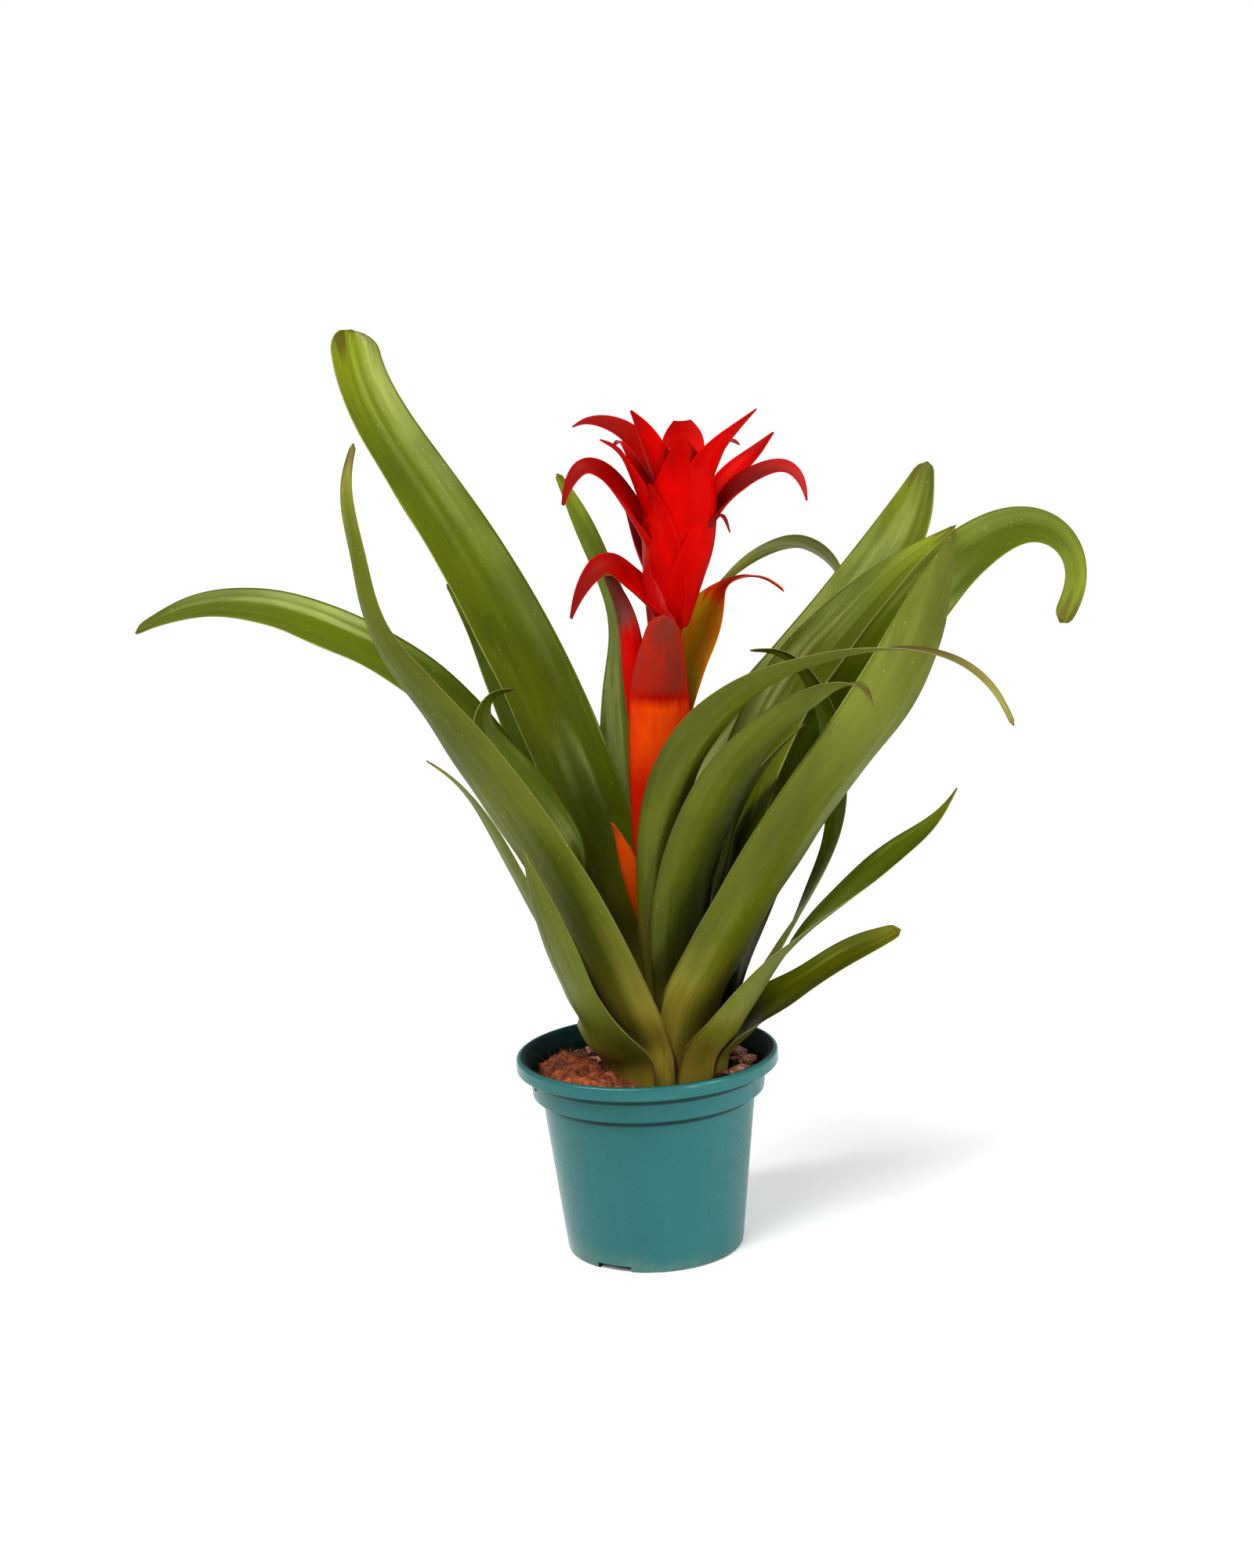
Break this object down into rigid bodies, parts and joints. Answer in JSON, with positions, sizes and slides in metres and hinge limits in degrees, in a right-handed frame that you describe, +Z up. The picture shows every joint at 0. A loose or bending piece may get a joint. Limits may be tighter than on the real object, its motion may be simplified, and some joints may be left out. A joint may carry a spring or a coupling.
{
  "type": "potted guzmania",
  "caption": "Potted bromeliad with arching strap leaves in a rosette round a clasped stalk and a red star-shaped flower head, in a round tapered nursery pot.",
  "frame": {"origin": "centre of the pot's flat base", "axes": "+Z up, -Y towards the viewer in the picture, +X to the viewer's right"},
  "size_m": [0.5015, 0.3013, 0.4632],
  "materials": {
    "pot": "satin",
    "soil": "matte",
    "coir": "matte",
    "bark": "matte",
    "rootstock": "matte",
    "leaf": "satin",
    "stalk": "satin",
    "orange_bract": "satin",
    "red_bract": "satin",
    "floret": "satin"
  },
  "bodies": {
    "root": {"pot": "pot", "soil": "soil", "coir_lump": "coir", "bark_chip_front": "bark", "bark_chip_right": "bark", "bark_chip_back": "bark", "rootstock": "rootstock", "leaf_upper_right": "leaf", "leaf_front_whip": "leaf", "leaf_upper_left": "leaf", "leaf_front_olive": "leaf", "leaf_behind_flower": "leaf", "leaf_folded_right": "leaf", "leaf_back_arch": "leaf", "leaf_middle_right": "leaf", "leaf_curled_left": "leaf", "leaf_broad_right": "leaf", "leaf_back_left": "leaf", "leaf_front_left": "leaf", "leaf_far_right": "leaf", "leaf_inner_left": "leaf", "leaf_hook_right": "leaf", "leaf_low_right": "leaf", "leaf_far_left": "leaf", "leaf_low_left": "leaf", "leaf_lowest_right": "leaf", "flower_stalk": "stalk", "bract_left_small": "orange_bract", "bract_left": "red_bract", "bract_right": "orange_bract", "bract_front": "orange_bract", "flower_head": "red_bract", "florets": "floret"}
  },
  "joints": []
}
